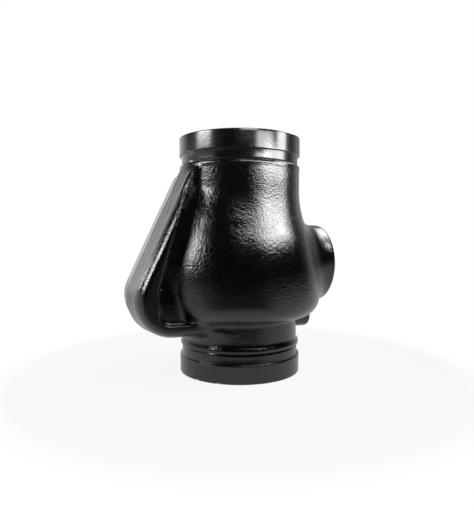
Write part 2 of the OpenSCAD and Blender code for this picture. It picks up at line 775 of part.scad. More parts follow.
// The split pin: a straight shank through the stem, a loop at one end and spread legs at the other
module split_pin() {
    wire_r = split_d / 2 - set_fit;
    loop_r = 2 * wire_r;
    half = split_len / 2;
    color([0.75, 0.75, 0.77]) swung() translate([0, 0, split_z]) {
        y_cylinder(split_d / 2, -half, half);
        translate([0, -half - loop_r, 0]) rotate([0, 90, 0]) rotate_extrude() translate([loop_r, 0])
            circle(r = wire_r, $fn = 24);
        for (side = [-1, 1]) {
            translate([0, half, 0]) rotate([side * split_spread, 0, 0]) y_cylinder(wire_r, 0, split_leg_len);
        }
    }
}

body();
seat_ring();
seat_o_ring();
hinge_pin();
thrust_washer_near();
thrust_washer_far();
hinge_pin_plug();
pin_plug_gasket();
supply_port_plug();
gauge_port_plug();
clapper_arm();
arm_bushing_near();
arm_bushing_far();
clapper_disc();
clapper_facing();
facing_retainer();
retainer_screws();
stem_washer();
stem_nut();
split_pin();
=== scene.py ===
import math

import bpy
import numpy as np
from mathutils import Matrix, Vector


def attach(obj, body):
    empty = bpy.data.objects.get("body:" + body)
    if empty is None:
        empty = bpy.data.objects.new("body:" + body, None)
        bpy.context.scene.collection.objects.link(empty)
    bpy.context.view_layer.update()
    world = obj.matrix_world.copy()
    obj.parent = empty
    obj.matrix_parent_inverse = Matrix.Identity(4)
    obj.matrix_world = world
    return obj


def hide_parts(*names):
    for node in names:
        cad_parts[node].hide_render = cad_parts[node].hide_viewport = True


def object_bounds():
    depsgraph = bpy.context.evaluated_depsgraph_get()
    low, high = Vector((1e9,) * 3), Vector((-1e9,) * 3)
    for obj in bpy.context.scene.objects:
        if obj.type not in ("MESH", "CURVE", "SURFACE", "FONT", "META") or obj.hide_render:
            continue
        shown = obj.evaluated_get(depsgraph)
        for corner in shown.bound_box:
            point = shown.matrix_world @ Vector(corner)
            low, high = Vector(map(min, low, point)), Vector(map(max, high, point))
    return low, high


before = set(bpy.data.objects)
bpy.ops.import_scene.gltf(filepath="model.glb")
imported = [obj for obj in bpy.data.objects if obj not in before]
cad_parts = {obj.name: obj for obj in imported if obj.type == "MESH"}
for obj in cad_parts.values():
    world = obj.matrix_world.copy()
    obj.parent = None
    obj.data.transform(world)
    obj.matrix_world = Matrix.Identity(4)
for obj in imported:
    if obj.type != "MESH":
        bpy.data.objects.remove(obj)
cad_low, cad_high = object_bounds()

MM = 0.001
# Angle of the camera's direction from the object's +Y axis, about Z
TURN = math.radians(22.0)

# Sizes in millimetres. The overall ones are read from the frame's box. Those called fitted follow the photo
# more closely than the part's source does. What is named EDGE or FILLET, and the cast skin, are the scene's
# alone. The others are the source's own, or follow from those.
HEIGHT, BELL_R, OUTLET_X = (round(reach / MM, 1) for reach in (cad_high.z, cad_high.y, cad_high.x))

# Pipe ends, and the planes where the casting meets the turned ends
COLLAR, GROOVE = 16.5, 9.5
PIPE_R, GROOVE_R, BORE_R = 57.15, 55.05, 48.5
LOW_CUT, HIGH_CUT = COLLAR + GROOVE, HEIGHT - COLLAR - GROOVE

# Bell and necks, with the belly, the sweep, the upper neck and the lower neck's fillet fitted
WALL = 7.0
BELL_Z, BELL_LOW_R, LOW_NECK_R = 72.0, 20.0, 54.5
BELLY_R, SWEEP_R, NECK_R, NECK_Z = 160.0, 102.42, 56.8, 172.0
BELL_FLOOR = BELL_Z - BELL_LOW_R
INNER_FLOOR = BELL_FLOOR + WALL
NECK_FILLET_R = 3.5
SHOULDER_H = 3.0

# Outlines as (radius, height), fitted: the bead above the lower groove, the shoulder below the upper one
BEAD = [(56.55, 28.8), (56.35, 29.8), (55.9, 30.6), (55.3, 31.2), (54.9, 31.9),
        (LOW_NECK_R + 0.1, 33), (LOW_NECK_R, 34.4)]
SHOULDER = [(NECK_R, 188.6), (PIPE_R - 0.2, 189.9), (PIPE_R, 190.4)]
# Heights where the casting's outline starts and ends, past the planes that trim it
LOW_END, HIGH_END = 20, 200

# Hood, short of the frame's box by the height of the cast skin, with its floor, corner and crown fitted
HOOD_REACH = round(-cad_low.x / MM - 0.1, 1)
HOOD_FLOOR, HOOD_CORNER_R, CROWN = 38.1, 35.2, 1.9
HOOD_TOP, HOOD_TOP_R, HOOD_ROOT_X = 189.0, 12.0, -30
HOOD_SLOPE = math.radians(25.2)
HOOD_HALF, FACE_HALF, EDGE_H = 40.0, 22.0, 7.5

# Recess behind the rim of each flank, and the web between the two recesses
RIM_X, RIM_Z, RIM_KNEE, RIM_CORNER_R, RECESS_END_X = -87.0, 52.4, 84.0, 11.0, 1
RIM_LEAN = math.radians(15.6)
WEB, WEB_TOP, WEB_BEND, WEB_BEND_H = 34.0, 28.0, 70.0, 22.0
RECESS_FILLET, RIM_EDGE = 3, 1.2

# Leaning chamber that the clapper swings into
CHAMBER_R, CHAMBER_X, CHAMBER_Z, CHAMBER_EDGE = 52.0, -28.5, 88.0, 4
CHAMBER_LEAN = math.radians(17.3)

# Fillets of the chamber and the hood, and what the hood's gains beside the chamber and under its floor
CHAMBER_FILLET, HOOD_FILLET, HOOD_GAIN_BESIDE, HOOD_GAIN_UNDER = 12, 5, 9, 6
# Where these fade, and over what length: toward the outlet, up the neck, above the hinge, below the bell
CHAMBER_END_X, CHAMBER_FADE, NECK_FADE = 20, 40, 30
BESIDE_Z, BESIDE_FADE, BESIDE_TOP_FADE, UNDER_FADE = 78, 24, 20, 8

# Drain outlet, with a lip about its bore inside the casting, and the supply and gauge ports
OUTLET_Z, OUTLET_R, OUTLET_BORE_R, OUTLET_EDGE, OUTLET_FILLET = 101.3, 37.5, 28.9, 2.2, 15
OUTLET_BORE_START, THREAD_ROOM = 48, 1.2
LIP_START, LIP_BEHIND_FACE, LIP_W = 65, 2, 3.5
SUPPLY_X, SUPPLY_Z, SUPPLY_R, SUPPLY_BORE_R, SUPPLY_EDGE = 72.5, 48.5, 12.0, 7.2, 2.5
GAUGE_Y, GAUGE_Z, GAUGE_R, GAUGE_BORE_R, GAUGE_EDGE = BELL_R, 122.0, 10.5, 5.6, 2
BOSS_START, BOSS_FILLET, INNER_FILLET = 20, 3, 2
BORE_EDGE, INNER_EDGE, END_EDGE = 0.8, 1, 0.6

# Hinge: two lugs, the pin's bore, and the boss of the pin's plug on the far side
HINGE_X, HINGE_Z = -66.0, 76.0
LUG_R, LUG_Y, NEAR_LUG_END, FAR_LUG_END = 12.5, 21, -28, 46
PIN_R, PIN_ENGAGE, SET_FIT = 6.0, 6, 0.03
PIN_BOSS_R, PIN_BOSS_START, PIN_BOSS_Y, PIN_BOSS_EDGE = 15.0, 22, 58.0, 2
PIN_PLUG_R, PIN_SEAT_Y = 9.3, 45

# Boss and pocket of the seat ring, and the height where the inlet's bore opens into the bell
SEAT_BOSS_R, SEAT_BOSS_LOW = 58.5, 53
SEAT_LOW, SEAT_FLANGE, SEAT_BODY_R, POCKET_TOP = 57.5, 63.0, 52.0, 66
BORE_TOP = 60

# Cast skin: waves of (height, size, seed), the parting line with its ragged parts, and a core's mark
WAVES = ((0.08, 17.0, 3), (0.045, 8.0, 5), (0.025, 3.6, 8))
SEAM_H, SEAM_W, SEAM_RAGS = 0.32, 1.0, ((0.30, 9.0, 11), (0.2, 3.0, 13))
SEAM_LIMITS = (0.05, 0.7)
MARK_X, MARK_Z, MARK_R, MARK_W, MARK_DEPTH = -73.2, 59.4, 21.0, 1.1, 0.22
MARK_START_X, MARK_END_X, MARK_FADE, MARK_LOW, MARK_FACE_Y = -75, -53, 4, 64, -20
SKIN_R, SKIN_FADE = 53, 3

# Grid of the casting's distances, a little wider than the casting
GRID_LOW, GRID_SIZE = (-111.2, -79.2, 23.2), (198.4, 158.4, 173.6)
GRID_STEP, QUICK_STEP = 0.8, 1.6
AXES = np.eye(3, dtype=int)


# Signed distances, negative inside the material
def fade(gap, over):
    """Goes from 0 to 1 as the gap goes from 0 to over."""
    return np.clip(gap / over, 0, 1)


def smin(a, b, k):
    """Union of two distances with a fillet; k may vary over the grid."""
    k = np.maximum(k, 1e-3)
    h = np.maximum(k - np.abs(a - b), 0) / k
    return np.minimum(a, b) - h * h * (k / 4)


def smax(a, b, k):
    """Intersection of two distances with a rounded edge."""
    return -smin(-a, -b, k)


def cut(shell, hole, edge):
    """Takes a hole out of the shell, with a rounded edge."""
    return smax(shell, -hole, edge)


def arc(cx, cz, r, start, end, n):
    """Points on a circle, angles in degrees."""
    t = np.radians(np.linspace(start, end, n))
    return [(cx + r * math.cos(a), cz + r * math.sin(a)) for a in t]


def outline_distance(points, u, v):
    """Signed distance from a closed outline."""
    starts = np.array(points, np.float32)
    ends = np.roll(starts, -1, 0)
    nearest = np.full(np.broadcast(u, v).shape, 1e9, np.float32)
    inside = np.zeros(nearest.shape, bool)
    for (ax, ay), (bx, by) in zip(starts, ends):
        dx, dy = bx - ax, by - ay
        length = dx * dx + dy * dy
        if length < 1e-9:
            continue
        t = np.clip(((u - ax) * dx + (v - ay) * dy) / length, 0, 1)
        nearest = np.minimum(nearest, (u - ax - t * dx) ** 2 + (v - ay - t * dy) ** 2)
        if abs(dy) > 1e-9:
            crosses = (ay > v) != (by > v)
            inside ^= crosses & (u < ax + (v - ay) * dx / dy)
    nearest = np.sqrt(nearest)
    return np.where(inside, -nearest, nearest).astype(np.float32)


def hull(points):
    """Convex hull of points in the plane."""
    points = sorted(set((round(float(x), 4), round(float(y), 4)) for x, y in points))

    def half(sequence):
        kept = []
        for p in sequence:
            while len(kept) > 1:
                (ax, ay), (bx, by) = kept[-2], kept[-1]
                if (bx - ax) * (p[1] - ay) - (by - ay) * (p[0] - ax) > 0:
                    break
                kept.pop()
            kept.append(p)
        return kept[:-1]

    return half(points) + half(points[::-1])


def revolved(points, rho, z):
    """Distance from a solid of revolution, read from a table of its half outline."""
    table_step, table_reach = 0.25, 130
    radii = np.arange(0, table_reach, table_step, dtype=np.float32)
    table = outline_distance(points, radii[:, None], z[None, :])
    at = rho / table_step
    low = np.clip(at.astype(np.int32), 0, len(radii) - 2)
    part = (at - low)[..., None].astype(np.float32)
    return table[low] * (1 - part) + table[low + 1] * part


def side_view(points, x, z):
    """Distance from an outline in the XZ plane, the same for every y."""
    return outline_distance(points, x[:, None], z[None, :])[:, None, :]


def boss(across, r, along, start, end, edge):
    """A round boss between start and end with a rounded outer edge."""
    return smax(smax(across - r, along - end, edge), start - along, 0)


# The casting's forms
def bell_side(grow):
    """The bell's outline from its lower rounding to the straight neck, moved out by grow."""
    total = BELLY_R + SWEEP_R
    rise = (NECK_Z - BELL_Z) * (BELLY_R + grow) / total
    belly = math.degrees(math.asin(rise / (BELLY_R + grow)))
    sweep = math.degrees(math.asin((NECK_Z - BELL_Z - rise) / (SWEEP_R - grow)))
    return (arc(BELL_R - BELL_LOW_R, BELL_Z, BELL_LOW_R + grow, -88, 0, 24)
            + arc(BELL_R - BELLY_R, BELL_Z, BELLY_R + grow, 0, belly, 30)[1:]
            + arc(NECK_R + SWEEP_R, NECK_Z, SWEEP_R - grow, 180 + sweep, 180, 30)[1:])


def hood_corner(r):
    """Centre of the hood's lower corner and the start of its slanted face at radius r."""
    cx, cz = -HOOD_REACH + HOOD_CORNER_R, HOOD_FLOOR + HOOD_CORNER_R
    return cx, cz, cx - math.cos(HOOD_SLOPE) * r, cz + math.sin(HOOD_SLOPE) * r


def flank_core(ay, Z, inset):
    """The hood between its recessed flanks, narrower above the hinge."""
    fall = (WEB - WEB_TOP) / WEB_BEND_H
    leaning = (ay - WEB + inset + (Z - WEB_BEND) * fall) / math.hypot(1, fall)
    return smax(ay - WEB + inset, smin(leaning, ay - WEB_TOP + inset, RECESS_FILLET), RECESS_FILLET)


def hood_block(x, z, ay):
    """The hood without its recesses: a crowned slanted face with elliptic edges beside it."""
    cx, cz, fx, fz = hood_corner(HOOD_CORNER_R - HOOD_TOP_R)
    tz = HOOD_TOP - HOOD_TOP_R
    tx = fx + (tz - fz) * math.tan(HOOD_SLOPE)
    side = hull(arc(cx, cz, HOOD_CORNER_R, 0, 357, 120) + arc(tx, tz, HOOD_TOP_R, 0, 355, 72)
                + arc(HOOD_ROOT_X, HOOD_FLOOR + HOOD_TOP_R, HOOD_TOP_R, 0, 350, 36))
    below_face = side_view(side, x, z) + CROWN * fade(ay, FACE_HALF)
    # The distance to an ellipse is about its level k0, less one, over that level's slope
    edge_w = HOOD_HALF - FACE_HALF
    q1, q2 = below_face + EDGE_H, ay - FACE_HALF
    p1, p2 = np.maximum(q1, 0) + 1e-4, np.maximum(q2, 0) + 1e-4
    k0 = np.sqrt((p1 / EDGE_H) ** 2 + (p2 / edge_w) ** 2)
    k1 = np.sqrt((p1 / EDGE_H ** 2) ** 2 + (p2 / edge_w ** 2) ** 2)
    rounded = k0 * (k0 - 1) / k1
    return np.where((q1 < 0) & (q2 < 0), np.maximum(q1 - EDGE_H, q2 - edge_w), rounded)


def hood_distance(x, z, ay, Z):
    """The hood with a recess behind a raised rim on each flank."""
    lean_x = RIM_X + (HEIGHT - RIM_KNEE) * math.tan(RIM_LEAN)
    recess = (arc(RIM_X + RIM_CORNER_R, RIM_Z + RIM_CORNER_R, RIM_CORNER_R, 180, 270, 14)
              + [(RECESS_END_X, RIM_Z), (RECESS_END_X, HEIGHT), (lean_x, HEIGHT), (RIM_X, RIM_KNEE)])
    recess = smax(side_view(recess, x, z), -flank_core(ay, Z, 0), RECESS_FILLET)
    return cut(hood_block(x, z, ay), recess, RIM_EDGE)


def chamber_distance(X, Y, Z):
    """Distance from the leaning axis of the chamber that the clapper swings into."""
    ax, az = math.sin(CHAMBER_LEAN), math.cos(CHAMBER_LEAN)
    along = np.clip((X - CHAMBER_X) * ax + (Z - CHAMBER_Z) * az, 0, None)
    return np.sqrt((X - CHAMBER_X - along * ax) ** 2 + Y ** 2 + (Z - CHAMBER_Z - along * az) ** 2)


def wave_field(lines, size, seed):
    """Smooth noise on the grid, with features of about this size."""
    rng = np.random.default_rng(seed)
    weights = []
    for line in lines:
        at = (line - line[0]) / size
        base = np.floor(at).astype(int)
        part = at - base
        part = part * part * (3 - 2 * part)
        w = np.zeros((len(line), int((line[-1] - line[0]) / size) + 3), np.float32)
        w[np.arange(len(line)), base] = 1 - part
        w[np.arange(len(line)), base + 1] += part
        weights.append(w)
    values = rng.uniform(-1, 1, [w.shape[1] for w in weights]).astype(np.float32)
    return np.einsum("ai,bj,ck,ijk->abc", *weights, values, optimize=True)


def skin(lines, X, Y, Z, RHO):
    """Height of the cast skin's relief: slow waves, the parting line and a shallow mark."""
    relief = 0
    for height, size, seed in WAVES:
        relief = relief + height * wave_field(lines, size, seed)
    seam = SEAM_H
    for height, size, seed in SEAM_RAGS:
        seam = seam + height * wave_field(lines, size, seed)
    relief += np.clip(seam, *SEAM_LIMITS) * np.clip(1 - np.abs(Y) / SEAM_W, 0, 1)
    # The mark is a curved groove on the near flank
    away = np.abs(np.hypot(X - MARK_X, Z - MARK_Z) - MARK_R)
    ends = fade(X - MARK_START_X, MARK_FADE) * fade(MARK_END_X - X, MARK_FADE)
    relief -= MARK_DEPTH * np.clip(1 - away / MARK_W, 0, 1) * ends * (Y < MARK_FACE_Y) * (Z > MARK_LOW)
    # The machined faces and the bore stay plain
    relief *= fade(Z - LOW_CUT, SKIN_FADE) * fade(HIGH_CUT - 1 - Z, SKIN_FADE)
    return relief * fade(RHO - SKIN_R, 2) * fade(OUTLET_X - 1 - X, SKIN_FADE)


def outer_distance(x, y, z, X, Y, Z, rho):
    """The casting's outer form."""
    ay = np.abs(Y)
    form = revolved(
        [(0, LOW_END), (BEAD[0][0], LOW_END)] + BEAD
        + arc(LOW_NECK_R + NECK_FILLET_R, BELL_FLOOR - NECK_FILLET_R, NECK_FILLET_R, 180, 92, 8)
        + bell_side(0)
        + SHOULDER + [(PIPE_R, HIGH_END), (0, HIGH_END)], rho, z)
    # The chamber's fillet fades out toward the drain outlet and where the chamber lies within the neck
    up_neck = np.maximum(fade(NECK_Z - Z, NECK_FADE), 0.1)
    fillet = CHAMBER_FILLET * fade(CHAMBER_END_X - X, CHAMBER_FADE) * up_neck
    chamber = smax(chamber_distance(X, Y, Z) - CHAMBER_R, BELL_FLOOR - Z, CHAMBER_EDGE)
    form = smin(form, chamber, fillet)
    # The hood's fillet is wide beside the chamber and under the floor, narrow in the recess and at the top
    beside = fade(Z - BESIDE_Z, BESIDE_FADE) * fade(NECK_Z - Z, BESIDE_TOP_FADE)
    fillet = HOOD_FILLET + HOOD_GAIN_BESIDE * beside + HOOD_GAIN_UNDER * fade(BELL_FLOOR - Z, UNDER_FADE)
    form = smin(form, hood_distance(x, z, ay, Z), fillet)

    outlet, supply = np.hypot(Y, Z - OUTLET_Z), np.hypot(Y, Z - SUPPLY_Z)
    gauge, pin = np.hypot(X, Z - GAUGE_Z), np.hypot(X - HINGE_X, Z - HINGE_Z)
    form = smin(form, boss(outlet, OUTLET_R, X, BOSS_START, OUTLET_X, OUTLET_EDGE), OUTLET_FILLET)
    form = np.maximum(form, X - OUTLET_X)
    form = smin(form, boss(supply, SUPPLY_R, X, BOSS_START, SUPPLY_X, SUPPLY_EDGE), BOSS_FILLET)
    form = smin(form, boss(gauge, GAUGE_R, Y, BOSS_START, GAUGE_Y, GAUGE_EDGE), BOSS_FILLET)
    return smin(form, boss(pin, PIN_BOSS_R, Y, PIN_BOSS_START, PIN_BOSS_Y, PIN_BOSS_EDGE), BOSS_FILLET)


def inner_distance(x, z, X, Y, Z, rho):
    """The casting's hollow."""
    side = [(0, INNER_FLOOR), (BELL_R - BELL_LOW_R, INNER_FLOOR)] + bell_side(-WALL) + [(0, NECK_Z)]
    inner = smin(revolved(side, rho, z), rho[:, :, None] - BORE_R, INNER_EDGE)
    chamber = smax(chamber_distance(X, Y, Z) - CHAMBER_R + WALL, INNER_FLOOR - Z, CHAMBER_EDGE)
    inner = smin(inner, chamber, CHAMBER_EDGE)

    r_in = HOOD_CORNER_R - WALL
    cx, cz, fx, fz = hood_corner(r_in)
    top = HIGH_CUT - SHOULDER_H - WALL
    hollow = [(-LOW_NECK_R + WALL, cz - r_in), (0, BELL_Z), (0, NECK_Z), (-BORE_R + WALL, top),
              (fx + (top - fz) * math.tan(HOOD_SLOPE), top)]
    hollow += arc(cx, cz, r_in, 180 - math.degrees(HOOD_SLOPE), 270, 24)
    hood = smax(side_view(hollow, x, z), flank_core(np.abs(Y), Z, WALL), CHAMBER_EDGE)
    return smin(inner, hood, CHAMBER_EDGE)


def casting_distance(x, y, z):
    """The whole casting on a grid; x, y and z are the grid's lines."""
    X, Y, Z = x[:, None, None], y[None, :, None], z[None, None, :]
    rho = np.sqrt(x[:, None] ** 2 + y[None, :] ** 2)
    RHO = rho[:, :, None]
    shell = outer_distance(x, y, z, X, Y, Z, rho) - skin((x, y, z), X, Y, Z, RHO)
    shell = cut(shell, inner_distance(x, z, X, Y, Z, rho), INNER_EDGE)

    # Seat boss, hinge lugs and the drain outlet's inner lip
    pin = np.hypot(X - HINGE_X, Z - HINGE_Z)
    outlet = np.hypot(Y, Z - OUTLET_Z)
    shell = smin(shell, boss(RHO, SEAT_BOSS_R, Z, SEAT_BOSS_LOW, SEAT_FLANGE, INNER_EDGE), INNER_FILLET)
    for low, high in ((NEAR_LUG_END, -LUG_Y), (LUG_Y, FAR_LUG_END)):
        lug = smax(pin - LUG_R, smax(low - Y, Y - high, INNER_EDGE), INNER_EDGE)
        shell = smin(shell, lug, INNER_FILLET)
    lip = smax(outlet - OUTLET_BORE_R - LIP_W, LIP_START - X, INNER_EDGE)
    shell = smin(shell, smax(lip, X - OUTLET_X + LIP_BEHIND_FACE, 0), INNER_FILLET)

    # Bores of the inlet, the seat ring, the ports, the pin and its plug
    pocket = smax(RHO - SEAT_BODY_R - SET_FIT, Z - POCKET_TOP, 0)
    supply, gauge = np.hypot(Y, Z - SUPPLY_Z), np.hypot(X, Z - GAUGE_Z)
    pin_end = -LUG_Y - PIN_ENGAGE - SET_FIT
    shell = cut(shell, smax(RHO - BORE_R, Z - BORE_TOP, 0), 0)
    shell = cut(shell, smax(pocket, SEAT_LOW - Z, 0), 0)
    shell = cut(shell, smax(outlet - OUTLET_BORE_R - THREAD_ROOM, OUTLET_BORE_START - X, 0), BORE_EDGE)
    shell = cut(shell, smax(supply - SUPPLY_BORE_R, -X, 0), BORE_EDGE)
    shell = cut(shell, smax(gauge - GAUGE_BORE_R, -Y, 0), BORE_EDGE)
    shell = cut(shell, smax(pin - PIN_R - SET_FIT, pin_end - Y, 0), 0)
    shell = cut(shell, smax(pin - PIN_PLUG_R, PIN_SEAT_Y - Y, 0), BORE_EDGE)

    # The end faces that meet the turned ends
    return smax(smax(shell, LOW_CUT - Z, END_EDGE), Z - HIGH_CUT, END_EDGE)


# Meshes
def blur(d):
    """Rounds every edge by about a grid step."""
    for axis in range(3):
        d = np.moveaxis(d, axis, 0)
        d[1:-1] = (d[:-2] + 2 * d[1:-1] + d[2:]) / 4
        d = np.moveaxis(d, 0, axis)
    return d


def net_points(d, cells):
    """For each cell, the mean of the points where its edges cross the zero level."""
    total = np.zeros((len(cells), 3), np.float64)
    count = np.zeros(len(cells))
    for axis in range(3):
        edge, one, two = np.roll(AXES, -axis, 0)
        for a in (0, 1):
            for b in (0, 1):
                offset = a * one + b * two
                start = cells + offset
                end = start + edge
                at_start, at_end = d[tuple(start.T)], d[tuple(end.T)]
                crosses = (at_start < 0) != (at_end < 0)
                t = at_start[crosses] / (at_start[crosses] - at_end[crosses])
                total[crosses] += offset + t[:, None] * edge
                count[crosses] += 1
    return cells + total / count[:, None]


def net_quads(inside, ids):
    """A quad around each grid edge that crosses the surface, facing out."""
    quads = []
    for axis in range(3):
        one, two = (axis + 1) % 3, (axis + 2) % 3
        moved = np.moveaxis(inside, axis, 0)
        order = [axis] + [a for a in range(3) if a != axis]
        start = np.argwhere(moved[:-1] != moved[1:])[:, np.argsort(order)]
        within = [(start[:, a] > 0) & (start[:, a] < ids.shape[a]) for a in (one, two)]
        start = start[within[0] & within[1]]
        du, dv = AXES[one], AXES[two]
        quad = np.stack([ids[tuple((start - o).T)] for o in (du + dv, dv, 0 * du, du)], 1)
        leaves = ~inside[tuple(start.T)]
        quad[leaves] = quad[leaves][:, ::-1]
        quads.append(quad)
    return np.concatenate(quads)


def surface_net(d, origin, step):
    """Points and quads on the zero level of a grid of distances."""
    inside = d < 0
    nx, ny, nz = np.array(d.shape) - 1
    corners = [inside[i:nx + i, j:ny + j, k:nz + k] for i in (0, 1) for j in (0, 1) for k in (0, 1)]
    crossed = np.logical_or.reduce(corners) & ~np.logical_and.reduce(corners)
    cells = np.argwhere(crossed)
    ids = np.full(crossed.shape, -1, np.int32)
    ids[crossed] = np.arange(len(cells))
    return net_points(d, cells) * step + origin, net_quads(inside, ids)


def mesh_object(name, verts, faces):
    """A smooth-shaded object from arrays in millimetres."""
    verts = np.asarray(verts, np.float64) * MM
    faces = np.asarray(faces, np.int32)
    mesh = bpy.data.meshes.new(name)
    corners = faces.shape[1]
    mesh.vertices.add(len(verts))
    mesh.vertices.foreach_set("co", verts.astype(np.float32).ravel())
    mesh.loops.add(faces.size)
    mesh.loops.foreach_set("vertex_index", faces.ravel())
    mesh.polygons.add(len(faces))
    mesh.polygons.foreach_set("loop_start", np.arange(0, faces.size, corners, dtype=np.int32))
    mesh.update(calc_edges=True)
    mesh.validate()
    mesh.polygons.foreach_set("use_smooth", np.ones(len(mesh.polygons), bool))
    obj = bpy.data.objects.new(name, mesh)
    bpy.context.scene.collection.objects.link(obj)
    return obj


def casting():
    """The cast body between its two turned ends."""
    step = GRID_STEP
    low = np.array(GRID_LOW)
    n = np.round(np.array(GRID_SIZE) / step).astype(int) + 1
    lines = [(low[k] + np.arange(n[k]) * step).astype(np.float32) for k in range(3)]
    d = blur(casting_distance(*lines).astype(np.float32))
    return mesh_object("valve_casting", *surface_net(d, low, step))


def lathe(name, loop, segments=288):
    """Turns a closed outline of (radius, height) about Z."""
    loop = np.array(loop, float)
    t = np.linspace(0, 2 * math.pi, segments, endpoint=False)
    n = len(loop)
    verts = np.stack([np.outer(np.cos(t), loop[:, 0]), np.outer(np.sin(t), loop[:, 0]),
                      np.tile(loop[:, 1], (segments, 1))], -1).reshape(-1, 3)
    i, j = np.meshgrid(np.arange(segments), np.arange(n), indexing="ij")
    i2, j2 = (i + 1) % segments, (j + 1) % n
    quads = np.stack([i * n + j, i2 * n + j, i2 * n + j2, i * n + j2], -1).reshape(-1, 4)
    return mesh_object(name, verts, quads)


def turned_end(name, flip):
    """One machined end with its collar and groove, from the end face to the casting."""
    # Each broken edge: where it starts beside its corner, and the point halfway round it
    bevel, bevel_mid = 0.5, 0.14
    corner, corner_mid = 0.35, 0.1
    root, root_mid = 0.4, (0.1, 0.12)
    # The ring that laps into the casting
    lap_r, lap_z = BORE_R + 1.6, LOW_CUT + 1.5
    loop = [(BORE_R + bevel, 0), (PIPE_R - bevel, 0), (PIPE_R - bevel_mid, bevel_mid), (PIPE_R, bevel)]
    loop += [(PIPE_R, z) for z in np.linspace(2, COLLAR - 1.5, 6)]
    loop += [(PIPE_R, COLLAR - corner), (PIPE_R - corner_mid, COLLAR - corner_mid),
             (PIPE_R - corner, COLLAR), (GROOVE_R + root, COLLAR),
             (GROOVE_R + root_mid[0], COLLAR + root_mid[1]), (GROOVE_R, COLLAR + root),
             (GROOVE_R, LOW_CUT - 3), (GROOVE_R, lap_z), (lap_r, lap_z), (lap_r, LOW_CUT),
             (BORE_R, LOW_CUT), (BORE_R, COLLAR), (BORE_R, bevel)]
    if flip:
        loop = [(r, HEIGHT - z) for r, z in loop][::-1]
    return lathe(name, loop)


def taper_thread():
    """The drain outlet's internal thread as a sleeve, a 2 in pipe thread of 2.21 mm pitch."""
    pitch, depth, length, turn_steps, wall = 2.209, 1.25, 19.0, 192, 0.6
    root_r = OUTLET_BORE_R + 0.75
    first_turn, mouth = OUTLET_X - 0.5 - length, OUTLET_X - 0.9
    # Near the mouth the crest falls away to a small share of its height
    run_out_start, run_out_length, run_out_share = OUTLET_X - 2.5, 2.0, 0.825
    # A spiral band whose cross-section goes from root to crest and back
    share = np.array([0, 0.08, 0.46, 0.54, 0.92])
    height = np.array([0, 0, 1, 1, 0]) * depth
    k = np.arange(int(length / pitch * turn_steps) + 1)
    angle = k * 2 * math.pi / turn_steps
    start = first_turn + k / turn_steps * pitch
    verts = []
    for s, h in zip(share, height):
        x = start + s * pitch
        r = root_r - h * (1 - run_out_share * fade(x - run_out_start, run_out_length))
        x = np.minimum(x, mouth)
        verts.append(np.stack([x, r * np.cos(angle), OUTLET_Z + r * np.sin(angle)], 1))
    n = len(verts)
    quads = []
    for j in range(n - 1):
        a = k[:-1] * n + j
        quads.append(np.stack([a, a + n, a + n + 1, a + 1], 1))
    # The last line of each turn joins the first line of the next
    a = k[:-turn_steps - 1] * n + n - 1
    b = (k[:-turn_steps - 1] + turn_steps) * n
    quads.append(np.stack([a, a + n, b + n, b], 1))
    obj = mesh_object("outlet_thread", np.stack(verts, 1).reshape(-1, 3), np.concatenate(quads))
    solid = obj.modifiers.new("wall", "SOLIDIFY")
    solid.thickness = wall * MM
    solid.offset = -1
    return obj


# Helpers for nodes and places
def turned(x, y, z):
    """A point given as right, away and up for the camera, in the object's frame."""
    c, s = math.cos(TURN), math.sin(TURN)
    return Vector((x * c + y * s, -x * s + y * c, z))


def math_node(nodes, links, operation, first, *others, clamp=False):
    """Math nodes over sockets or numbers, from left to right."""
    result = first
    for other in others or (None,):
        n = nodes.new("ShaderNodeMath")
        n.operation = operation
        n.use_clamp = clamp
        for k, value in enumerate((result, other)):
            if isinstance(value, (int, float)):
                n.inputs[k].default_value = value
            elif value is not None:
                links.new(value, n.inputs[k])
        result = n.outputs[0]
    return result


def smooth_step(nodes, links, value, start, end):
    """Zero before start, one after end, where end may also be the smaller one."""
    n = nodes.new("ShaderNodeMapRange")
    n.interpolation_type = "SMOOTHSTEP"
    n.inputs["From Min"].default_value = start
    n.inputs["From Max"].default_value = end
    links.new(value, n.inputs["Value"])
    return n.outputs["Result"]


def along(nodes, links, vector, direction):
    """How far a vector points in a direction."""
    n = nodes.new("ShaderNodeVectorMath")
    n.operation = "DOT_PRODUCT"
    n.inputs[1].default_value = direction
    links.new(vector, n.inputs[0])
    return n.outputs["Value"]


def noise(nodes, links, scale, detail, rough, stretch=None):
    """Object-space noise with features of about 1/scale metres; returns its factor socket."""
    coord = nodes.new("ShaderNodeTexCoord")
    tex = nodes.new("ShaderNodeTexNoise")
    tex.inputs["Scale"].default_value = scale
    tex.inputs["Detail"].default_value = detail
    tex.inputs["Roughness"].default_value = rough
    source = coord.outputs["Object"]
    if stretch:
        mapping = nodes.new("ShaderNodeMapping")
        mapping.inputs["Scale"].default_value = stretch
        links.new(source, mapping.inputs["Vector"])
        source = mapping.outputs["Vector"]
    links.new(source, tex.inputs["Vector"])
    return tex.outputs["Fac"]


def ramp(nodes, links, source, *stops):
    """A colour ramp over stops of (position, number or colour)."""
    node = nodes.new("ShaderNodeValToRGB")
    elements = node.color_ramp.elements
    while len(elements) > 1:
        elements.remove(elements[-1])
    for k, (at, value) in enumerate(stops):
        element = elements[0] if k == 0 else elements.new(at)
        element.position = at
        colour = value if isinstance(value, tuple) else (value,) * 3
        element.color = (*colour, 1)
    links.new(source, node.inputs["Fac"])
    return node.outputs["Color"]


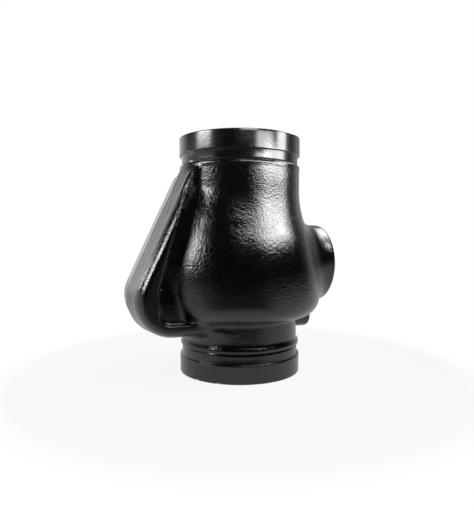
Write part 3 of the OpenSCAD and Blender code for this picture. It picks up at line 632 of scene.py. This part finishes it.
def bump(nodes, links, *layers):
    """Chains bumps of (height socket, distance in millimetres)."""
    normal = None
    for height, distance in layers:
        b = nodes.new("ShaderNodeBump")
        b.inputs["Strength"].default_value = 1.0
        b.inputs["Distance"].default_value = distance * MM
        links.new(height, b.inputs["Height"])
        if normal:
            links.new(normal, b.inputs["Normal"])
        normal = b.outputs["Normal"]
    return normal


# Materials
ENAMEL_DARK, ENAMEL_PALE = (0.0021, 0.0021, 0.0023), (0.0038, 0.0038, 0.0040)
# Chips in the enamel of the lower edge: azimuth in degrees as the camera sees it, radius in millimetres
CHIPS = ((-41.0, 1.2), (-19.5, 1.0), (-16.5, 0.8))
CHIP_Z, CHIP_RAGS, CHIP_OUTER, CHIP_INNER = 0.2, 0.9, 0.6, 0.3
CHIP_COLOUR = (0.62, 0.61, 0.59, 1)


def new_material(name):
    """An empty material with its nodes, links and shader."""
    m = bpy.data.materials.new(name)
    m.use_nodes = True
    nodes = m.node_tree.nodes
    return m, nodes, m.node_tree.links, nodes["Principled BSDF"]


def chip_mask(nodes, links):
    """One inside the chips, zero elsewhere."""
    place = nodes.new("ShaderNodeTexCoord").outputs["Object"]
    ragged = math_node(nodes, links, "MULTIPLY", noise(nodes, links, 1500, 2, 0.5), CHIP_RAGS * MM)
    chips = []
    for azimuth, radius in CHIPS:
        a = math.radians(azimuth)
        gap = nodes.new("ShaderNodeVectorMath")
        gap.operation = "DISTANCE"
        gap.inputs[1].default_value = turned(math.sin(a) * PIPE_R, -math.cos(a) * PIPE_R, CHIP_Z) * MM
        links.new(place, gap.inputs[0])
        reach = math_node(nodes, links, "ADD", gap.outputs["Value"], ragged)
        outer, inner = (radius + CHIP_OUTER) * MM, (radius + CHIP_INNER) * MM
        chips.append(smooth_step(nodes, links, reach, outer, inner))
    return math_node(nodes, links, "MAXIMUM", *chips)


def enamel(name, grain, fine, rough, chipped=False):
    """Glossy black enamel. Grain and fine are the depths of the skin's relief in millimetres."""
    m, nodes, links, bsdf = new_material(name)
    colour = ramp(nodes, links, noise(nodes, links, 45, 4, 0.6), (0.3, ENAMEL_DARK), (0.7, ENAMEL_PALE))
    if chipped:
        mix = nodes.new("ShaderNodeMixRGB")
        mix.inputs["Color2"].default_value = CHIP_COLOUR
        links.new(chip_mask(nodes, links), mix.inputs["Fac"])
        links.new(colour, mix.inputs["Color1"])
        colour = mix.outputs["Color"]
    links.new(colour, bsdf.inputs["Base Color"])
    stains = noise(nodes, links, 160, 3, 0.6)
    links.new(ramp(nodes, links, stains, (0.3, rough - 0.05), (0.7, rough + 0.06)),
              bsdf.inputs["Roughness"])
    bsdf.inputs["Coat Weight"].default_value = 1.0
    bsdf.inputs["Coat Roughness"].default_value = rough / 2
    bsdf.inputs["Coat IOR"].default_value = 1.6
    normal = bump(nodes, links, (noise(nodes, links, 330, 3, 0.55), grain),
                  (noise(nodes, links, 620, 3, 0.5), fine))
    links.new(normal, bsdf.inputs["Normal"])
    links.new(normal, bsdf.inputs["Coat Normal"])
    return m


def metal(name, colour, rough, lines=0.0, stretch=None):
    """Machined or cast metal with stains; lines is the depth of its tool marks in millimetres."""
    m, nodes, links, bsdf = new_material(name)
    dark = tuple(c * 0.82 for c in colour)
    links.new(ramp(nodes, links, noise(nodes, links, 120, 4, 0.6), (0.3, dark), (0.7, colour)),
              bsdf.inputs["Base Color"])
    bsdf.inputs["Metallic"].default_value = 1.0
    stains = noise(nodes, links, 260, 3, 0.6)
    links.new(ramp(nodes, links, stains, (0.3, rough - 0.06), (0.7, rough + 0.08)),
              bsdf.inputs["Roughness"])
    layers = [(noise(nodes, links, 700, 2, 0.5), 0.02)]
    if lines:
        layers.append((noise(nodes, links, 250, 2, 0.6, stretch), lines))
    links.new(bump(nodes, links, *layers), bsdf.inputs["Normal"])
    return m


def rubber(name, colour):
    """Moulded rubber or pressed fibre."""
    m, nodes, links, bsdf = new_material(name)
    dark, pale = tuple(c * 0.75 for c in colour), tuple(c * 1.3 for c in colour)
    links.new(ramp(nodes, links, noise(nodes, links, 140, 4, 0.6), (0.3, dark), (0.7, pale)),
              bsdf.inputs["Base Color"])
    links.new(ramp(nodes, links, noise(nodes, links, 300, 3, 0.6), (0.3, 0.5), (0.7, 0.68)),
              bsdf.inputs["Roughness"])
    links.new(bump(nodes, links, (noise(nodes, links, 1400, 2, 0.5), 0.02)), bsdf.inputs["Normal"])
    return m


def paint(obj, material):
    """Puts the material into every slot of the object."""
    if not obj.data.materials:
        obj.data.materials.append(material)
    for k in range(len(obj.data.materials)):
        obj.data.materials[k] = material


# The object
cast_enamel = enamel("enamel_on_casting", grain=0.10, fine=0.32, rough=0.15)
turned_enamel = enamel("enamel_on_turned_ends", grain=0.05, fine=0.05, rough=0.26, chipped=True)
brass = metal("turned_brass", (0.62, 0.42, 0.17), rough=0.27, lines=0.03, stretch=(0.05, 0.05, 4))
steel = metal("stainless_steel", (0.56, 0.55, 0.53), rough=0.25, lines=0.02, stretch=(0.1, 4, 0.1))
cast_steel = metal("investment_cast_steel", (0.42, 0.42, 0.41), rough=0.42)
black_oxide = metal("black_oxide_steel", (0.055, 0.055, 0.06), rough=0.34)
seal_rubber = rubber("seal_rubber", (0.018, 0.018, 0.019))
fibre = rubber("fibre_gasket", (0.20, 0.055, 0.03))

LOOKS = {
    "body": cast_enamel, "seat_ring": brass, "seat_o_ring": seal_rubber, "hinge_pin": steel,
    "thrust_washer_near": brass, "thrust_washer_far": brass, "hinge_pin_plug": brass,
    "pin_plug_gasket": fibre, "supply_port_plug": black_oxide, "gauge_port_plug": black_oxide,
    "clapper_arm": cast_steel, "arm_bushing_near": brass, "arm_bushing_far": brass,
    "clapper_disc": cast_steel, "clapper_facing": seal_rubber, "facing_retainer": steel,
    "retainer_screws": steel, "stem_washer": steel, "stem_nut": steel, "split_pin": steel,
}
for node, look in LOOKS.items():
    paint(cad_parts[node], look)

for piece, look in ((casting(), cast_enamel), (turned_end("inlet_end", False), turned_enamel),
                    (turned_end("outlet_end", True), turned_enamel), (taper_thread(), turned_enamel)):
    paint(piece, look)
    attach(piece, "valve_body")
    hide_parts("body")


# Stage, light and camera
WHITE = (1, 1, 1, 1)
# Half width and height of the floor in millimetres, and how many cells it has along a side
FLOOR_REACH, FLOOR_Z, FLOOR_CELLS = 2400, -0.2, 24
# Share of plain white in what the camera sees of the floor by the object, and of glow in what gloss sees
FLOOR_LIFT, FLOOR_GLOSS = 0.88, 0.88
# The darkest that gloss sees the room, and the room's light on dull surfaces
ROOM_LEAST, ROOM_SOFT = 0.004, 0.35

# Soft panels: name, azimuth in degrees as the camera sees it, then in metres the distance from the object's
# axis, the height of the low edge, the width and the height, and last the radiance
PANELS = (
    ("left_softbox", -68, 0.80, 0.335, 0.50, 0.26, 12),
    ("back_left_softbox", -98, 0.27, 0.12, 0.035, 0.08, 6),
    ("right_softbox", 60, 0.165, 0.180, 0.155, 0.052, 8.5),
    ("right_collar_softbox", 73, 0.20, 0.226, 0.08, 0.06, 9),
    ("back_right_softbox", 122, 0.30, 0.34, 0.36, 0.30, 7),
    ("upper_right_softbox", 39, 0.17, 0.194, 0.10, 0.055, 7),
    ("upper_softbox", 16, 0.20, 0.255, 0.12, 0.12, 6),
)
# Share of a panel's width and height over which its light falls off
SOFT_EDGE = 0.22

# The camera's place in metres as right, away and up, its tilt down in degrees, its lens in millimetres
CAMERA_PLACE, CAMERA_TILT, SENSOR_W, LENS = (-0.002374, -0.46388, 0.12959), 2.59, 36, 33.754


def glow(nodes, links, strength):
    """White emission of a number's or a socket's strength; returns its shader socket."""
    n = nodes.new("ShaderNodeEmission")
    n.inputs["Color"].default_value = WHITE
    if isinstance(strength, float):
        n.inputs["Strength"].default_value = strength
    else:
        links.new(strength, n.inputs["Strength"])
    return n.outputs["Emission"]


def mix_shaders(nodes, links, share, first, second):
    """Share of the second shader over the first."""
    n = nodes.new("ShaderNodeMixShader")
    links.new(share, n.inputs["Fac"])
    links.new(first, n.inputs[1])
    links.new(second, n.inputs[2])
    return n.outputs["Shader"]


def floor_material():
    """Pale, with the object's shadow near it, and white far out."""
    m, nodes, links, bsdf = new_material("pale_floor")
    nodes.remove(bsdf)
    place = nodes.new("ShaderNodeTexCoord").outputs["Object"]
    length = nodes.new("ShaderNodeVectorMath")
    length.operation = "LENGTH"
    links.new(place, length.inputs[0])
    away = length.outputs["Value"]
    path = nodes.new("ShaderNodeLightPath")

    diffuse = nodes.new("ShaderNodeBsdfDiffuse")
    diffuse.inputs["Color"].default_value = (0.8, 0.8, 0.8, 1)
    lift = math_node(nodes, links, "MAXIMUM", FLOOR_LIFT, smooth_step(nodes, links, away, 0.07, 0.24))
    share = math_node(nodes, links, "MULTIPLY", path.outputs["Is Camera Ray"], lift)
    seen = mix_shaders(nodes, links, share, diffuse.outputs["BSDF"], glow(nodes, links, 1.0))

    # In the paint's reflections the sheet is dimmer toward the camera
    ahead = math_node(nodes, links, "DIVIDE", along(nodes, links, place, turned(0, -1, 0)), away)
    front = math_node(nodes, links, "MULTIPLY", smooth_step(nodes, links, ahead, 0.6, 0.92),
                      smooth_step(nodes, links, away, 0.11, 0.24))
    mirrored = glow(nodes, links, ramp(nodes, links, front, (0, 0.42), (1, 0.02)))
    share = math_node(nodes, links, "MULTIPLY", path.outputs["Is Glossy Ray"], FLOOR_GLOSS)
    links.new(mix_shaders(nodes, links, share, seen, mirrored), nodes["Material Output"].inputs["Surface"])
    return m


def make_floor():
    """A pale sheet that keeps the object's shadow and runs out to white."""
    line = np.linspace(-FLOOR_REACH, FLOOR_REACH, FLOOR_CELLS + 1)
    gx, gy = np.meshgrid(line, line, indexing="ij")
    verts = np.stack([gx.ravel(), gy.ravel(), np.full(gx.size, FLOOR_Z)], 1)
    row, column = np.arange(FLOOR_CELLS)[:, None], np.arange(FLOOR_CELLS)[None, :]
    first = (row * (FLOOR_CELLS + 1) + column).ravel()
    quads = np.stack([first, first + FLOOR_CELLS + 1, first + FLOOR_CELLS + 2, first + 1], 1)
    floor = mesh_object("floor", verts, quads)
    paint(floor, floor_material())


def make_world():
    """White for the camera; for the paint a dark room with a pale back wall and a low glow at the left."""
    world = bpy.data.worlds.new("studio")
    bpy.context.scene.world = world
    world.use_nodes = True
    nodes, links = world.node_tree.nodes, world.node_tree.links
    nodes.clear()
    ray = nodes.new("ShaderNodeTexCoord").outputs["Generated"]
    behind = smooth_step(nodes, links, along(nodes, links, ray, turned(0, 1, 0)), 0.3, 0.75)
    leftward = along(nodes, links, ray, turned(-1, 0, 0))
    up = along(nodes, links, ray, (0, 0, 1))
    wall = math_node(nodes, links, "MULTIPLY", ramp(nodes, links, leftward, (0.0, 0.35), (0.3, 0.7)),
                     ramp(nodes, links, up, (0.2, 1.0), (0.55, 0.15)), behind)
    side = math_node(nodes, links, "MULTIPLY", ramp(nodes, links, leftward, (0.7, 0.0), (0.95, 0.4)),
                     ramp(nodes, links, up, (0.1, 1.0), (0.25, 0.0)))
    room = math_node(nodes, links, "ADD", wall, side)
    room = math_node(nodes, links, "MAXIMUM", room, ROOM_LEAST)

    path = nodes.new("ShaderNodeLightPath")
    gloss = math_node(nodes, links, "ADD", path.outputs["Is Glossy Ray"],
                      path.outputs["Is Transmission Ray"], clamp=True)
    dull = math_node(nodes, links, "SUBTRACT", 1.0, gloss)
    level = math_node(nodes, links, "ADD", math_node(nodes, links, "MULTIPLY", gloss, room),
                      math_node(nodes, links, "MULTIPLY", dull, ROOM_SOFT))
    level = math_node(nodes, links, "MAXIMUM", level, path.outputs["Is Camera Ray"])
    background = nodes.new("ShaderNodeBackground")
    background.inputs["Color"].default_value = WHITE
    links.new(level, background.inputs["Strength"])
    out = nodes.new("ShaderNodeOutputWorld")
    links.new(background.outputs["Background"], out.inputs["Surface"])


def softbox(name, azimuth, distance, low_edge, width, height, radiance):
    """An upright soft panel, placed by its direction from the object as the camera sees it."""
    a = math.radians(azimuth)
    place = turned(math.sin(a) * distance, -math.cos(a) * distance, low_edge + height / 2)
    light = bpy.data.lights.new(name, "AREA")
    light.shape = "RECTANGLE"
    light.size, light.size_y = width, height
    light.energy = radiance * math.pi * width * height
    light.use_nodes = True
    nodes, links = light.node_tree.nodes, light.node_tree.links
    split = nodes.new("ShaderNodeSeparateXYZ")
    links.new(nodes.new("ShaderNodeNewGeometry").outputs["Parametric"], split.inputs[0])
    falls = []
    for across in split.outputs[:2]:
        off_middle = math_node(nodes, links, "SUBTRACT", across, 0.5)
        off_middle = math_node(nodes, links, "ABSOLUTE", off_middle)
        falls.append(smooth_step(nodes, links, off_middle, 0.5, 0.5 - SOFT_EDGE))
    links.new(math_node(nodes, links, "MULTIPLY", *falls), nodes["Emission"].inputs["Strength"])
    obj = bpy.data.objects.new(name, light)
    bpy.context.scene.collection.objects.link(obj)
    obj.location = place
    obj.rotation_euler = Vector((place.x, place.y, 0)).to_track_quat("Z", "Y").to_euler()
    obj.visible_camera = False


def make_camera():
    """The camera that took the photo, as far as it can be told."""
    data = bpy.data.cameras.new("camera")
    data.sensor_width = SENSOR_W
    data.lens = LENS
    obj = bpy.data.objects.new("camera", data)
    bpy.context.scene.collection.objects.link(obj)
    obj.location = turned(*CAMERA_PLACE)
    obj.rotation_euler = (math.radians(90 - CAMERA_TILT), 0, -TURN)
    data.clip_start = 0.01
    bpy.context.scene.camera = obj


make_floor()
make_world()
for panel in PANELS:
    softbox(*panel)
make_camera()
bpy.context.scene.view_settings.view_transform = "Standard"
